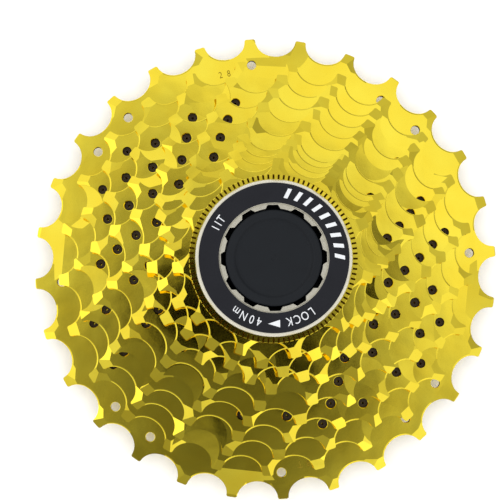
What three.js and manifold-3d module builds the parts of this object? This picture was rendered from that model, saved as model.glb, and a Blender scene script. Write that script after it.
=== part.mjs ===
// An eleven-speed bicycle cassette, 11 to 28 teeth, standing on its plastic shipping core.
// Millimetres, +Z up. The axis of every sprocket is Z, the largest sprocket is lowest,
// and the lock ring is on top. The origin is the centre of the core's underside.
import * as THREE from 'three';
import { mergeVertices } from 'three/addons/utils/BufferGeometryUtils.js';
import Module from 'manifold-3d';

// ---- chain and teeth ----
const CHAIN_PITCH = 12.7;
const TOOTH_RISE = 0.55; // tip above the pitch circle
const TOOTH_ROOT = 3.9; // bottom of the roller seat below the pitch circle
const TIP_LAND = 2.7; // flat length of a tip
const SEAT_STEPS = 6;
const BEVEL_RUN = 2.5; // radial length of the flat bevel on each tooth's front
const BEVEL_DROP = 0.45; // plate thickness lost at the tip

// ---- plates ----
const PLATE = 1.6;
const SPACING = 3.74; // from one sprocket to the next
const STACK_GAP = 0.02; // between flat faces that bear on each other
const HOLE_R = 1.3; // small holes at the tooth roots
const HOLE_INSET = 6.0; // from the pitch circle to a hole's centre
const HOLE_SIDES = 8;

// ---- lock ring and washer ----
const THREAD_R = 15.3; // major radius of the lock ring's thread
const WASHER_FIT = 0.2;
const WASHER = 0.5;
const WASHER_WIDTH = 1.8;
const LOCK_OVERHANG = 0.5; // of the flange past the washer
const LOCK_HEIGHT = 2.8;
const LOCK_BEVEL_RUN = 0.9;
const LOCK_BEVEL_DROP = 1.0;
const LOCK_SKIRT = 5.0;
const LOCK_EDGE = 0.3;
const NOTCH_COUNT = 12;
const NOTCH_PHASE = 1.3;
const SIDES_PER_NOTCH = 3;
const NOTCH_TIP_R = 11.1; // inner ends of the tool teeth
const NOTCH_DEPTH = 0.9;
const NOTCH_LIP = 0.7; // from a notch's root to the flat face
const NOTCH_DROP = 0.4; // the tool teeth lie this far below the flat face
const NOTCH_ROOT_WIDTH = 2.3;
const NOTCH_MOUTH_WIDTH = 3.4;

// ---- splines ----
const SPLINE_COUNT = 9;
const SPLINE_DEPTH = 0.8;
const SPLINE_HALF = 10; // degrees
const KEY_HALF = 7; // the one narrow spline that sets the sprockets' angle
const SPLINE_FIT = 0.3; // radial and side clearance of a sprocket on the core
const SLEEVE_WALL = 0.85; // between the spline roots and the threaded bore
const THREAD_FIT = 0.25;

// ---- spacers and rivets ----
const LOOSE_SPACER_WALL = 1.7;
const END_BOSS_WALL = 0.7;
const CLUSTER_SPACER_WALL = 1.9; // outside the rivets
const RIVET_COUNT = 3;
const RIVET_PHASE = 30;
const RIVET_R = 1.6;
const RIVET_FIT = 0.15;
const RIVET_HEAD_R = 2.4;
const RIVET_HEAD = 0.8;
const HEAD_CLEARANCE = 0.4;

// ---- serrated ring on the end sprocket ----
const SERRATION_COUNT = 100;
const SERRATION_RIM = 1.0; // from the washer's recess to the serrations
const SERRATION_DEPTH = 0.7;
const SERRATION_HEIGHT = 0.45;

// ---- shipping core and plug ----
const BASE = 1.8;
const BASE_R = 25;
const NECK = 6.4; // from the base flange to the seat of the largest sprocket
const NECK_WALL = 2.5;
const SEAT_MARGIN = 0.6; // from the seat to the rivet heads
const CORE_TOP_DROP = 1.5; // the core ends this far below the end sprocket's face
const PLUG_FIT = 0.15;
const TUBE_WALL = 1.5;
const TUBE_TOP_GAP = 1.5; // from the inner tube to the lock ring's skirt
const PLUG_DEPTH = 20;
const PLUG_WALL = 1.4;
const PLUG_RIM = 2.1;
const PLUG_RECESS = 0.5;
const PLUG_BELOW_TEETH = 0.2;
const PLUG_EDGE = 0.3;

// ---- lightening windows of the largest plates ----
const WINDOW_COUNT = 6;
const WINDOW_MARGIN = 2.5; // from the cluster spacers to a window
const WINDOW_ARM = 8; // width of the arm between two windows
const WINDOW_STEPS = 4;

const allBut = (teeth, left) => [...Array(teeth).keys()].filter((k) => !left.includes(k));

// ---- each sprocket, largest first: teeth, angle of tooth 0, teeth with a hole clockwise from it,
// and how far inside the pitch circle its lightening windows end ----
const SPROCKETS = [
  { teeth: 28, phase: 55.6, drilled: [0, 1, 4, 7, 8, 11, 14, 15, 18, 21, 22, 25], windowInset: 18.7 },
  { teeth: 25, phase: 54.2, drilled: [3, 5, 6, 14, 15, 18, 19], windowInset: 13.7 },
  { teeth: 23, phase: 54.3, drilled: allBut(23, [0, 9, 10, 11, 12, 21, 22]), windowInset: 11.6 },
  { teeth: 21, phase: 54.2, drilled: [2, 3, 4, 7, 8, 9, 14, 15, 16, 17, 18] },
  { teeth: 19, phase: 54.2, drilled: [2, 3, 4, 5, 6, 9, 11, 12, 13, 14, 15, 16] },
  { teeth: 17, phase: 54.3, drilled: [1, 2, 3, 4, 5, 9, 10, 11, 12, 13, 14] },
  { teeth: 15, phase: 54.3, drilled: [] },
  { teeth: 14, phase: 54.3, drilled: [] },
  { teeth: 13, phase: 54.3, drilled: [] },
  { teeth: 12, phase: 54.3, drilled: [] },
  { teeth: 11, phase: 54.3, drilled: [] },
];
const CLUSTER_COUNT = 6; // the plates that are riveted together
const BOSSED_TEETH = [12, 11]; // the sprockets whose spacer is built in

// ---- radii that follow ----
const SPLINE_ROOT_R = THREAD_R + THREAD_FIT + SLEEVE_WALL;
const SPLINE_CREST_R = SPLINE_ROOT_R + SPLINE_DEPTH;
const SPACER_BORE_R = SPLINE_CREST_R + SPLINE_FIT;
const LOOSE_SPACER_R = SPACER_BORE_R + LOOSE_SPACER_WALL;
const END_BOSS_R = SPACER_BORE_R + END_BOSS_WALL;
const RIVET_CIRCLE_R = LOOSE_SPACER_R + HEAD_CLEARANCE + RIVET_HEAD_R;
const CLUSTER_SPACER_R = RIVET_CIRCLE_R + RIVET_R + CLUSTER_SPACER_WALL;
const WINDOW_INNER_R = CLUSTER_SPACER_R + WINDOW_MARGIN;
const SEAT_R = RIVET_CIRCLE_R - RIVET_HEAD_R - SEAT_MARGIN;
const WASHER_R = THREAD_R + WASHER_FIT + WASHER_WIDTH;
const LOCK_R = WASHER_R + LOCK_OVERHANG;
const LOCK_FACE_R = LOCK_R - LOCK_BEVEL_RUN;
const NOTCH_ROOT_R = NOTCH_TIP_R + NOTCH_DEPTH;
const LOCK_LIP_R = NOTCH_ROOT_R + NOTCH_LIP;
const SERRATION_ROOT_R = WASHER_R + WASHER_FIT + SERRATION_RIM;
const SERRATION_TIP_R = SERRATION_ROOT_R + SERRATION_DEPTH;
const PLUG_R = NOTCH_TIP_R - PLUG_FIT;
const TUBE_BORE_R = PLUG_R + PLUG_FIT;

const ROUND = 32; // sides of a full circle
const ROUND_SMALL = 8; // sides of a rivet
const OVERCUT = 1; // how far a cutter runs past what it cuts

// ---- heights ----
const SEAT_Z = BASE + NECK;
const FIRST_Z = SEAT_Z + STACK_GAP;
const backZ = (index) => FIRST_Z + index * SPACING;
const frontZ = (index) => backZ(index) + PLATE;
const LAST = SPROCKETS.length - 1;
const WASHER_Z = frontZ(LAST) + STACK_GAP;
const LOCK_Z = WASHER_Z + WASHER + STACK_GAP;
const LOCK_TOP = LOCK_Z + LOCK_HEIGHT;
const CORE_TOP = frontZ(LAST) - CORE_TOP_DROP;
const PLUG_TOP = LOCK_TOP - NOTCH_DROP - PLUG_BELOW_TEETH;
const TUBE_TOP = LOCK_Z - LOCK_SKIRT - TUBE_TOP_GAP;

const wasm = await Module();
wasm.setup();

// ---- solids ----
function toSolid(geometry) {
  const bare = geometry.clone();
  bare.deleteAttribute('normal');
  bare.deleteAttribute('uv');
  const merged = mergeVertices(bare, 1e-5);
  const mesh = new wasm.Mesh({
    numProp: 3,
    vertProperties: new Float32Array(merged.attributes.position.array),
    triVerts: new Uint32Array(merged.index.array),
  });
  return new wasm.Manifold(mesh);
}

function toGeometry(solid) {
  const mesh = solid.getMesh();
  const geometry = new THREE.BufferGeometry();
  geometry.setAttribute('position', new THREE.BufferAttribute(new Float32Array(mesh.vertProperties), 3));
  geometry.setIndex(new THREE.BufferAttribute(new Uint32Array(mesh.triVerts), 1));
  geometry.computeVertexNormals();
  return geometry;
}

function join(...parts) {
  return toGeometry(parts.map(toSolid).reduce((sum, part) => sum.add(part)));
}

function cut(body, ...tools) {
  return toGeometry(tools.map(toSolid).reduce((rest, tool) => rest.subtract(tool), toSolid(body)));
}

function common(body, other) {
  return toGeometry(toSolid(body).intersect(toSolid(other)));
}

// ---- outlines ----
const radians = THREE.MathUtils.degToRad;
const inDegrees = THREE.MathUtils.radToDeg;
const pitchRadius = (teeth) => CHAIN_PITCH / (2 * Math.sin(Math.PI / teeth));

function polar(r, degrees) {
  return new THREE.Vector2(r * Math.cos(radians(degrees)), r * Math.sin(radians(degrees)));
}

function circle(r, sides = ROUND, centre = new THREE.Vector2(), phase = 0) {
  return Array.from({ length: sides }, (_, i) => polar(r, phase + (i * 360) / sides).add(centre));
}

function extrude(points, holes, z, depth) {
  const shape = new THREE.Shape(points);
  shape.holes = holes.map((hole) => new THREE.Path(hole));
  return new THREE.ExtrudeGeometry(shape, { depth, bevelEnabled: false }).translate(0, 0, z);
}

// A turned body from (radius, height) pairs, with one corner at the angle `corner`.
function turn(profile, sides = ROUND, corner = 0) {
  const points = profile.map(([r, z]) => new THREE.Vector2(r, z));
  return new THREE.LatheGeometry(points, sides, radians(corner + 90)).rotateX(Math.PI / 2);
}

// Teeth with flat tips, joined by half-elliptical roller seats.
function toothOutline({ teeth, phase }) {
  const step = 360 / teeth;
  const tipR = pitchRadius(teeth) + TOOTH_RISE;
  const seatHalf = step / 2 - inDegrees(TIP_LAND / 2 / tipR);
  const mouthR = tipR * Math.cos(radians(seatHalf));
  const halfWidth = tipR * Math.sin(radians(seatHalf));
  const depth = mouthR - (pitchRadius(teeth) - TOOTH_ROOT);
  const points = [];
  for (let k = 0; k < teeth; k += 1) {
    const middle = phase + (k + 0.5) * step;
    for (let i = 0; i <= SEAT_STEPS; i += 1) {
      const along = (Math.PI * i) / SEAT_STEPS;
      const point = new THREE.Vector2(mouthR - depth * Math.sin(along), -halfWidth * Math.cos(along));
      points.push(point.rotateAround(new THREE.Vector2(), radians(middle)));
    }
  }
  return points;
}

// Nine ridges, one of them narrow; `fit` grows the outline for a bore.
function splineOutline(fit) {
  const points = [];
  const fitAngle = inDegrees(fit / SPLINE_CREST_R);
  for (let k = 0; k < SPLINE_COUNT; k += 1) {
    const middle = (k * 360) / SPLINE_COUNT;
    const half = (k === 0 ? KEY_HALF : SPLINE_HALF) + fitAngle;
    for (const side of [-half, half]) {
      const crest = polar(SPLINE_CREST_R + fit, middle + side);
      const root = polar(SPLINE_ROOT_R + fit, middle + side);
      points.push(...(side < 0 ? [root, crest] : [crest, root]));
    }
  }
  return points;
}

function windowOutlines({ teeth, windowInset }) {
  const outerR = pitchRadius(teeth) - windowInset;
  const step = 360 / WINDOW_COUNT;
  const armHalf = (r) => inDegrees(WINDOW_ARM / 2 / r);
  const arc = (r, from, to) =>
    Array.from({ length: WINDOW_STEPS }, (_, i) => polar(r, from + ((to - from) * i) / (WINDOW_STEPS - 1)));
  return Array.from({ length: WINDOW_COUNT }, (_, k) => {
    const from = RIVET_PHASE + k * step;
    const to = from + step;
    return [
      ...arc(WINDOW_INNER_R, from + armHalf(WINDOW_INNER_R), to - armHalf(WINDOW_INNER_R)),
      ...arc(outerR, to - armHalf(outerR), from + armHalf(outerR)),
    ];
  });
}

const rivetCentre = (k) => polar(RIVET_CIRCLE_R, RIVET_PHASE + (k * 360) / RIVET_COUNT);

function rivetHoles() {
  const r = RIVET_R + RIVET_FIT;
  return Array.from({ length: RIVET_COUNT }, (_, k) => circle(r, ROUND_SMALL, rivetCentre(k)));
}

function rootHoles({ teeth, phase, drilled }) {
  const r = pitchRadius(teeth) - HOLE_INSET;
  return drilled.map((k) => {
    const angle = phase - (k * 360) / teeth;
    return circle(HOLE_R, HOLE_SIDES, polar(r, angle), angle + 180 / HOLE_SIDES);
  });
}

// ---- sprockets ----
// A shallow many-sided cone that leaves one flat bevel on the front of each tooth.
function bevelCone({ teeth, phase }, z) {
  const tipR = pitchRadius(teeth) + TOOTH_RISE;
  const toCorner = 1 / Math.cos(Math.PI / teeth); // from the middle of a side to its corners
  const rimR = tipR + OVERCUT;
  const heightAt = (r) => z + PLATE - (BEVEL_DROP / BEVEL_RUN) * (r - (tipR - BEVEL_RUN));
  const profile = [
    [0, z - OVERCUT],
    [rimR * toCorner, z - OVERCUT],
    [rimR * toCorner, heightAt(rimR)],
    [0, heightAt(0)],
  ];
  return turn(profile, teeth, phase + 180 / teeth);
}

function plate(index) {
  const sprocket = SPROCKETS[index];
  const holes = [splineOutline(SPLINE_FIT), ...rootHoles(sprocket)];
  if (index < CLUSTER_COUNT) holes.push(...rivetHoles());
  if (sprocket.windowInset) holes.push(...windowOutlines(sprocket));
  const blank = extrude(toothOutline(sprocket), holes, backZ(index), PLATE);
  return common(blank, bevelCone(sprocket, backZ(index)));
}

function builtInSpacer(index, outerR) {
  const below = frontZ(index - 1) + STACK_GAP;
  const overlap = PLATE / 2;
  return extrude(circle(outerR), [splineOutline(SPLINE_FIT)], below, backZ(index) - below + overlap);
}

function serratedRing() {
  const points = [];
  for (let k = 0; k < SERRATION_COUNT; k += 1) {
    const angle = (k * 360) / SERRATION_COUNT;
    points.push(polar(SERRATION_ROOT_R, angle), polar(SERRATION_TIP_R, angle + 180 / SERRATION_COUNT));
  }
  const overlap = PLATE / 2;
  const inner = circle(WASHER_R + WASHER_FIT);
  return extrude(points, [inner], frontZ(LAST) - overlap, overlap + SERRATION_HEIGHT);
}

function sprocketGeometry(index) {
  const { teeth } = SPROCKETS[index];
  if (!BOSSED_TEETH.includes(teeth)) return plate(index);
  if (index < LAST) return join(plate(index), builtInSpacer(index, LOOSE_SPACER_R));
  return join(plate(index), builtInSpacer(index, END_BOSS_R), serratedRing());
}

// ---- spacers and rivets ----
function spacerGeometry(index) {
  const inCluster = index < CLUSTER_COUNT - 1;
  const outer = circle(inCluster ? CLUSTER_SPACER_R : LOOSE_SPACER_R);
  const bore = circle(SPACER_BORE_R);
  const holes = inCluster ? [bore, ...rivetHoles()] : [bore];
  const z = frontZ(index) + STACK_GAP;
  return extrude(outer, holes, z, SPACING - PLATE - 2 * STACK_GAP);
}

function rivetGeometry(k) {
  const low = backZ(0) - STACK_GAP;
  const high = frontZ(CLUSTER_COUNT - 1) + STACK_GAP;
  const centre = rivetCentre(k);
  const profile = [
    [0, low - RIVET_HEAD],
    [RIVET_HEAD_R, low - RIVET_HEAD],
    [RIVET_HEAD_R, low],
    [RIVET_R, low],
    [RIVET_R, high],
    [RIVET_HEAD_R, high],
    [RIVET_HEAD_R, high + RIVET_HEAD],
    [0, high + RIVET_HEAD],
  ];
  return turn(profile, ROUND_SMALL).translate(centre.x, centre.y, 0);
}

// ---- lock ring ----
function washerGeometry() {
  return extrude(circle(WASHER_R), [circle(THREAD_R + WASHER_FIT)], WASHER_Z, WASHER);
}

function notches() {
  const low = LOCK_Z - LOCK_SKIRT - OVERCUT;
  const depth = LOCK_TOP + OVERCUT - low;
  const mouthR = NOTCH_TIP_R - OVERCUT;
  const flare = (NOTCH_MOUTH_WIDTH - NOTCH_ROOT_WIDTH) / (NOTCH_ROOT_R - NOTCH_TIP_R);
  const mouth = NOTCH_MOUTH_WIDTH + flare * OVERCUT;
  const notch = extrude(
    [
      new THREE.Vector2(mouthR, -mouth / 2),
      new THREE.Vector2(NOTCH_ROOT_R, -NOTCH_ROOT_WIDTH / 2),
      new THREE.Vector2(NOTCH_ROOT_R, NOTCH_ROOT_WIDTH / 2),
      new THREE.Vector2(mouthR, mouth / 2),
    ],
    [],
    low,
    depth,
  );
  return Array.from({ length: NOTCH_COUNT }, (_, k) =>
    notch.clone().rotateZ(radians(NOTCH_PHASE + (k * 360) / NOTCH_COUNT)),
  );
}

function lockRingGeometry() {
  const bottom = LOCK_Z - LOCK_SKIRT;
  const profile = [
    [NOTCH_TIP_R, bottom],
    [THREAD_R - LOCK_EDGE, bottom],
    [THREAD_R, bottom + LOCK_EDGE],
    [THREAD_R, LOCK_Z],
    [LOCK_R - LOCK_EDGE, LOCK_Z],
    [LOCK_R, LOCK_Z + LOCK_EDGE],
    [LOCK_R, LOCK_TOP - LOCK_BEVEL_DROP],
    [LOCK_FACE_R, LOCK_TOP],
    [LOCK_LIP_R, LOCK_TOP],
    [LOCK_LIP_R - NOTCH_DROP, LOCK_TOP - NOTCH_DROP],
    [NOTCH_TIP_R, LOCK_TOP - NOTCH_DROP],
    [NOTCH_TIP_R, bottom],
  ];
  return cut(turn(profile, SIDES_PER_NOTCH * NOTCH_COUNT, NOTCH_PHASE + 180 / NOTCH_COUNT), ...notches());
}

// ---- shipping core and plug ----
function coreGeometry() {
  const outerBore = THREAD_R + THREAD_FIT;
  const tubeR = TUBE_BORE_R + TUBE_WALL;
  const base = extrude(circle(BASE_R), [circle(TUBE_BORE_R)], 0, BASE);
  const neck = extrude(circle(SEAT_R), [circle(tubeR - TUBE_WALL / 2)], BASE / 2, SEAT_Z - BASE / 2);
  const recess = extrude(circle(SEAT_R - NECK_WALL), [circle(tubeR)], -OVERCUT, SEAT_Z - BASE + OVERCUT);
  const sleeveZ = SEAT_Z - BASE / 2;
  const sleeve = extrude(splineOutline(0), [circle(outerBore)], sleeveZ, CORE_TOP - sleeveZ);
  const tube = extrude(circle(tubeR), [circle(TUBE_BORE_R)], BASE / 2, TUBE_TOP - BASE / 2);
  return cut(join(base, neck, sleeve, tube), recess);
}

function plugGeometry() {
  const discR = PLUG_R - PLUG_RIM;
  const bottom = PLUG_TOP - PLUG_DEPTH;
  const ceiling = PLUG_TOP - PLUG_RECESS - PLUG_WALL;
  const profile = [
    [0, ceiling],
    [PLUG_R - PLUG_WALL, ceiling],
    [PLUG_R - PLUG_WALL, bottom],
    [PLUG_R, bottom],
    [PLUG_R, PLUG_TOP - PLUG_EDGE],
    [PLUG_R - PLUG_EDGE, PLUG_TOP],
    [discR, PLUG_TOP],
    [discR, PLUG_TOP - PLUG_RECESS],
    [0, PLUG_TOP - PLUG_RECESS],
  ];
  return turn(profile);
}

// ---- materials ----
const gold = { color: 0xd8c02c, roughness: 0.14, metalness: 1.0 };
const zinc = { color: 0xb9bcc0, roughness: 0.35, metalness: 1.0 };
const resin = { color: 0x1b1c1f, roughness: 0.6, metalness: 0.0 };
const anodised = { color: 0x1c1d22, roughness: 0.42, metalness: 0.6 };
const corePlastic = { color: 0x23262b, roughness: 0.55, metalness: 0.0 };

// ---- assembly ----
const cassette = new THREE.Group();

function place(name, geometry, look) {
  const mesh = new THREE.Mesh(geometry, new THREE.MeshStandardMaterial(look));
  mesh.name = name;
  cassette.add(mesh);
}

SPROCKETS.forEach(({ teeth }, index) => {
  place(`sprocket_${teeth}t`, sprocketGeometry(index), gold);
  const next = SPROCKETS[index + 1];
  if (!next || BOSSED_TEETH.includes(next.teeth)) return;
  const kind = index < CLUSTER_COUNT - 1 ? 'cluster_spacer' : 'spacer';
  place(`${kind}_${teeth}_${next.teeth}`, spacerGeometry(index), resin);
});
for (let k = 0; k < RIVET_COUNT; k += 1) place(`cluster_rivet_${k + 1}`, rivetGeometry(k), zinc);
place('lock_washer', washerGeometry(), zinc);
place('lock_ring', lockRingGeometry(), anodised);
place('shipping_core', coreGeometry(), corePlastic);
place('core_plug', plugGeometry(), corePlastic);

export default cassette;
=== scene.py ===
"""Eleven-speed bicycle cassette, 11 to 28 teeth, on its plastic shipping core.

Shapes are made in millimetres about the cassette's axis (Z) and turned to metres as each
piece is finished. Heights come from the fixed frame's own boxes.
"""

import math
import random

import bmesh
import bpy
from mathutils import Matrix, Vector


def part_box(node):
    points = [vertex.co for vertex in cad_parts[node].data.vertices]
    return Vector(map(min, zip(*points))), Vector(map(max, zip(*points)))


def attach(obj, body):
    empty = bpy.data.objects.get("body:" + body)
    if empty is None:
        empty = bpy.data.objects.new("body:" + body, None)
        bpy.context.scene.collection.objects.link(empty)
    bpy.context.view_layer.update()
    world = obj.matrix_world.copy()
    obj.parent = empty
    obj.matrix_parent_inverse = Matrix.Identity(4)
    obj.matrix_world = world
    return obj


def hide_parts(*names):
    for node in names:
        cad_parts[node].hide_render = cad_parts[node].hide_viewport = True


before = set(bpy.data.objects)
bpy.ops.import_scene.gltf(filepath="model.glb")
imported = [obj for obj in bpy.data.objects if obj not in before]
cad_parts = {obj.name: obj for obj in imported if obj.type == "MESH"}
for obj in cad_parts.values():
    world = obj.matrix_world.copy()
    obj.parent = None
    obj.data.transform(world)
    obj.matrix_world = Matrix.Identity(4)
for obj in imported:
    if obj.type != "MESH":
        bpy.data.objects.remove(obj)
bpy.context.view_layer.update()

MM = 0.001

# ---- chain and teeth, in millimetres ----
CHAIN_PITCH = 12.7
TOOTH_RISE = 0.55
TOOTH_ROOT = 3.9
TIP_LAND = 2.7
SEAT_STEPS = 22
PLATE = 1.6
FACET_RUN = 2.5
FACET_DROP = 0.45
BACK_FACET_RUN = 1.6
BACK_FACET_DROP = 0.3
RIM_EASE = 0.34
BORE_EASE = 0.15
ROLL_DEPTH = 0.45
HOLE_EASE = 0.28
CORNER_EASE = 0.5
SPLINE_CORNER_EASE = 0.25

# ---- slanting cut on each tooth: degrees, then millimetres ----
BEVEL_LEAN = (4, 9)
BEVEL_SLEWS = (-9, -6, -3, 0, 3, 6, 9)
BEVEL_DEPTH = 0.14
BEVEL_DEPTH_PER_DEGREE = 0.01
BEVEL_BLOCK = (5, 6.4, 3)
BEVEL_SHIFT = (-0.7, 0, 1.5)
BEVEL_INSET = 0.8

# ---- holes and windows ----
HOLE_R = 1.13
HOLE_INSET = 6.0
HOLE_SIDES = 28
PILOT_R = 0.3
PILOT_WEB = 0.3
WEB_RISE = 0.3
WEB_OVERLAP = 0.15
RIVET_COUNT = 3
RIVET_PHASE = 30
RIVET_CIRCLE_R = 22.0
RIVET_R = 1.6
RIVET_FIT = 0.15
RIVET_HEAD_R = 2.4
RIVET_HEAD = 0.8
WINDOW_COUNT = 6
WINDOW_INNER_R = 28.0
WINDOW_ARM = 8.0
WINDOW_CORNER = 1.6

# ---- splines ----
SPLINE_COUNT = 9
SPLINE_ROOT_R = 16.4
SPLINE_CREST_R = 17.2
SPLINE_HALF = 10
KEY_HALF = 7
SPLINE_FIT = 0.3

# ---- spacers ----
LOOSE_SPACER_R = 19.2
END_BOSS_R = 18.2
CLUSTER_SPACER_R = 25.5
BOSS_SINK = 0.8
GROOVE_DEPTH = 0.2
GROOVE_HALF_FLOOR = 0.12
GROOVE_HALF_MOUTH = 0.3

# ---- serrated ring ----
SERRATIONS = 100
SERRATION_ROOT_R = 18.5
SERRATION_TIP_R = 19.2
SERRATION_BORE_R = 17.5
SERRATION_HEIGHT = 0.45
SERRATION_CUT = 0.62
SERRATION_MOUTH = 0.54
SERRATION_START_R = SERRATION_ROOT_R - 0.4
SERRATION_LENGTH = 1.15
SERRATED_BAND_R = 18.9
SERRATED_BAND_HALF = 0.6

# ---- lock ring and washer ----
THREAD_R = 15.3
THREAD_PITCH = 1.0
THREAD_DEPTH = 0.45
THREAD_FADE = 0.6
LOCK_R = 17.8
LOCK_FACE_R = 16.9
LOCK_BEVEL = 1.0
LOCK_HEIGHT = 2.8
LOCK_LIP_R = 12.7
LIP_DROP = 0.4
NOTCHES = 12
NOTCH_PHASE = 1.3
NOTCH_TIP_R = 11.1
NOTCH_ROOT_R = 12.0
NOTCH_ROOT_WIDTH = 2.3
NOTCH_MOUTH_WIDTH = 3.4
WASHER_R = 17.3
WASHER_BORE_R = 15.5

# ---- printed and stamped marks ----
PRINT_R = 14.85
PRINT_SINK = 0.012
STAMP_R = 49.4
STAMP_SINK = 0.008
STAMP_SIZE = 2.3
MARK_THICKNESS = 0.02
BAR_COUNT = 9
BAR_START = 78
BAR_STEP = 9.6

# ---- core and plug ----
BASE = 1.8
BASE_R = 25.0
NECK = 6.4
NECK_R = 19.0
NECK_WALL = 2.5
CORE_BORE_R = 15.55
RIB_COUNT = 6
RIB_HALF = 0.6
RIB_OVERLAP = 0.3
DIMPLE_CIRCLE_R = 21.5
TUBE_R = 12.6
TUBE_BORE_R = 11.1
TUBE_TOP = 41.26
PLUG_R = 10.95
PLUG_RIM = 2.1
PLUG_RECESS = 0.5
PLUG_WALL = 1.4

# each sprocket: teeth, angle of tooth 0, body, teeth drilled clockwise from tooth 0, window inset
SPROCKETS = [
    (28, 55.6, "cluster", [0, 1, 4, 7, 8, 11, 14, 15, 18, 21, 22, 25], 18.7),
    (25, 54.2, "cluster", [3, 5, 6, 14, 15, 18, 19], 13.7),
    (23, 54.3, "cluster", [1, 2, 3, 4, 5, 6, 7, 8, 13, 14, 15, 16, 17, 18, 19, 20], 11.6),
    (21, 54.2, "cluster", [2, 3, 4, 7, 8, 9, 14, 15, 16, 17, 18], 0),
    (19, 54.2, "cluster", [2, 3, 4, 5, 6, 9, 11, 12, 13, 14, 15, 16], 0),
    (17, 54.3, "cluster", [1, 2, 3, 4, 5, 9, 10, 11, 12, 13, 14], 0),
    (15, 54.3, "cog_15t", [], 0),
    (14, 54.3, "cog_14t", [], 0),
    (13, 54.3, "cog_13t", [], 0),
    (12, 54.3, "cog_12t", [], 0),
    (11, 54.3, "cog_11t", [], 0),
]
RIVETED = [28, 25, 23, 21, 19, 17]

# the largest plate's face: sectors set back round these teeth of every seven, and four scoops
RECESSED_OF_SEVEN = (0, 4)
RECESS_INNER_R = 52.5
RECESS_OUTER_R = 60
RECESS_DEPTH = 0.42
SCOOP_ANGLES = (87.5, 175.5, 264.0, 354.0)
SCOOP_R = 9.0
SCOOP_CIRCLE_R = 57.0
SCOOP_DEPTH = 0.35
SCOOP_LEAN = 3.0

# shift ramps coined into the smaller plates: tooth, scoop radius, outward and sideways lean
RAMP_DEPTH = 0.28
RAMP_ABOVE_ROOT = 1.2
RAMPS = {
    25: [
        (1, 5.6, -0.7, 0.6),
        (7, 5.2, 1, 1.5),
        (11, 5.8, 1.5, -1),
        (17, 5.4, 3, 2),
        (22, 5.6, -0.8, 1),
    ],
    23: [
        (0, 5.2, -0.7, 0.8),
        (5, 5.6, 1.5, 1),
        (10, 5.2, -1, 1),
        (14, 5.6, 2, -2),
        (19, 5.2, -3, 2),
    ],
    21: [(1, 5.4, -0.8, 0.8), (6, 5.0, 1, 1.5), (11, 5.4, 1, -1), (16, 5.2, 3, 2)],
    19: [(0, 5.0, -0.8, 0.7), (5, 5.2, 1.5, 1), (9, 5.0, 1, -1.5), (14, 5.2, 3, 2)],
    17: [(2, 5.0, -0.8, 1), (6, 4.8, 1, 1), (10, 5.0, -1.5, 1), (14, 4.8, 4, 2)],
    15: [(1, 4.6, -1, 1), (6, 4.6, 1, -1.5), (11, 4.6, 3, 3)],
    14: [(2, 4.4, -1, 1), (7, 4.4, 1, 1), (11, 4.4, 4, 3)],
    13: [(0, 4.2, -1, 1), (5, 4.2, 1, 1), (9, 4.2, 3, -2)],
}


# ---- small helpers ----
def polar(r, degrees):
    return (r * math.cos(math.radians(degrees)), r * math.sin(math.radians(degrees)))


def circle(r, sides, centre=(0.0, 0.0)):
    points = [polar(r, 360 * i / sides) for i in range(sides)]
    return [(x + centre[0], y + centre[1]) for x, y in points]


def pitch_radius(teeth):
    return CHAIN_PITCH / (2 * math.sin(math.pi / teeth))


def tip_radius(teeth):
    return pitch_radius(teeth) + TOOTH_RISE


BOXES = {node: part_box(node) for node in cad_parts}


def top_of(node):
    return BOXES[node][1].z / MM


def bottom_of(node):
    return BOXES[node][0].z / MM


# ---- outlines ----
def tooth_outline(teeth, phase):
    """Flat tips joined by half-elliptical roller seats."""
    step = 360 / teeth
    tip = tip_radius(teeth)
    half = step / 2 - math.degrees(TIP_LAND / 2 / tip)
    mouth = tip * math.cos(math.radians(half))
    width = tip * math.sin(math.radians(half))
    depth = mouth - (pitch_radius(teeth) - TOOTH_ROOT)
    points = []
    for k in range(teeth):
        turn = Matrix.Rotation(math.radians(phase + (k + 0.5) * step), 2)
        for i in range(SEAT_STEPS + 1):
            along = math.pi * i / SEAT_STEPS
            seat = Vector((mouth - depth * math.sin(along), -width * math.cos(along)))
            points.append(tuple(turn @ seat))
    return points


def spline_outline(fit):
    """Nine ridges, one of them narrow, with rounded lands between."""
    points = []
    step = 360 / SPLINE_COUNT
    wider = math.degrees(fit / SPLINE_CREST_R)
    for k in range(SPLINE_COUNT):
        middle = k * step
        half = (KEY_HALF if k == 0 else SPLINE_HALF) + wider
        next_half = KEY_HALF if k == SPLINE_COUNT - 1 else SPLINE_HALF
        following = step - next_half - wider
        for i in range(7):
            points.append(polar(SPLINE_CREST_R + fit, middle - half + 2 * half * i / 6))
        for i in range(6):
            at = half + (following - half) * i / 5
            points.append(polar(SPLINE_ROOT_R + fit, middle + at))
    return points


def hole_centres(teeth, phase, drilled):
    r = pitch_radius(teeth) - HOLE_INSET
    return [polar(r, phase - k * 360 / teeth) for k in drilled]


def window_outlines(teeth, inset):
    """Six lightening windows between the arms of a large plate."""
    outer = pitch_radius(teeth) - inset
    outlines = []
    for k in range(WINDOW_COUNT):
        start = RIVET_PHASE + k * 360 / WINDOW_COUNT
        end = start + 360 / WINDOW_COUNT
        near = math.degrees(WINDOW_ARM / 2 / WINDOW_INNER_R)
        far = math.degrees(WINDOW_ARM / 2 / outer)
        inner_arc = [start + near + (end - start - 2 * near) * i / 10 for i in range(11)]
        outer_arc = [end - far - (end - start - 2 * far) * i / 12 for i in range(13)]
        outline = [polar(WINDOW_INNER_R, a) for a in inner_arc]
        outline += [polar(outer, a) for a in outer_arc]
        outlines.append(outline)
    return outlines


def rivet_centre(k):
    return polar(RIVET_CIRCLE_R, RIVET_PHASE + k * 360 / RIVET_COUNT)


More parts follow.
